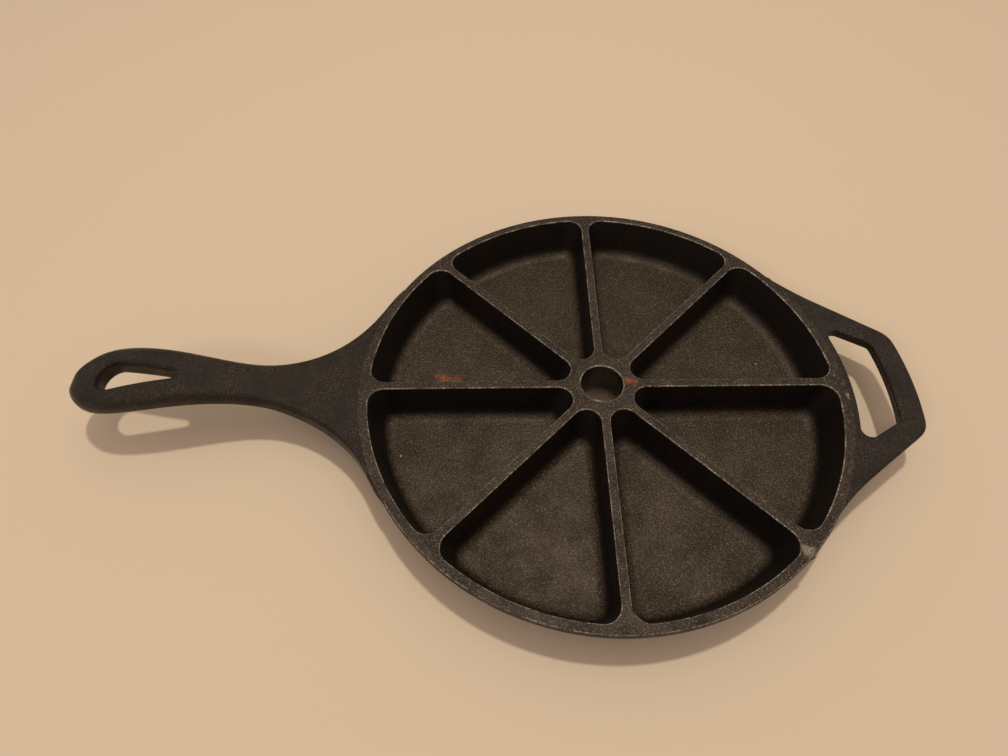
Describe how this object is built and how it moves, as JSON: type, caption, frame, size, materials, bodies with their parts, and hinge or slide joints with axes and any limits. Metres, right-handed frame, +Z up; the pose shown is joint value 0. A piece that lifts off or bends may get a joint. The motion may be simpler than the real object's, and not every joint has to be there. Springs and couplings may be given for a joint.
{
  "type": "wedge cornbread pan",
  "caption": "Round cast iron baking pan with wedge-shaped wells round a bored hub, a long arched handle with a hanging hole and a looped helper handle.",
  "frame": {"origin": "middle of the pan's overall length and width, on the plane that it rests on; the hub's axis is at x = 50.75 mm", "axes": "+Z up; +X towards the helper handle, so the long handle points along -X; +Y across the pan, away from the camera"},
  "size_m": [0.3964, 0.23, 0.0371],
  "materials": {
    "rim": "seasoned, satin",
    "hub": "seasoned, satin",
    "divider_1": "seasoned, satin",
    "divider_2": "seasoned, satin",
    "divider_3": "seasoned, satin",
    "divider_4": "seasoned, satin",
    "divider_5": "seasoned, satin",
    "divider_6": "seasoned, satin",
    "divider_7": "seasoned, satin",
    "divider_8": "seasoned, satin",
    "well_floor_1": "seasoned, satin",
    "well_floor_2": "seasoned, satin",
    "well_floor_3": "seasoned, satin",
    "well_floor_4": "seasoned, satin",
    "well_floor_5": "seasoned, satin",
    "well_floor_6": "seasoned, satin",
    "well_floor_7": "seasoned, satin",
    "well_floor_8": "seasoned, satin",
    "long_handle": "seasoned, satin",
    "helper_handle": "seasoned, satin"
  },
  "bodies": {
    "root": {"rim": "rim", "hub": "hub", "divider_1": "divider_1", "divider_2": "divider_2", "divider_3": "divider_3", "divider_4": "divider_4", "divider_5": "divider_5", "divider_6": "divider_6", "divider_7": "divider_7", "divider_8": "divider_8", "well_floor_1": "well_floor_1", "well_floor_2": "well_floor_2", "well_floor_3": "well_floor_3", "well_floor_4": "well_floor_4", "well_floor_5": "well_floor_5", "well_floor_6": "well_floor_6", "well_floor_7": "well_floor_7", "well_floor_8": "well_floor_8", "long_handle": "long_handle", "helper_handle": "helper_handle"}
  },
  "joints": []
}
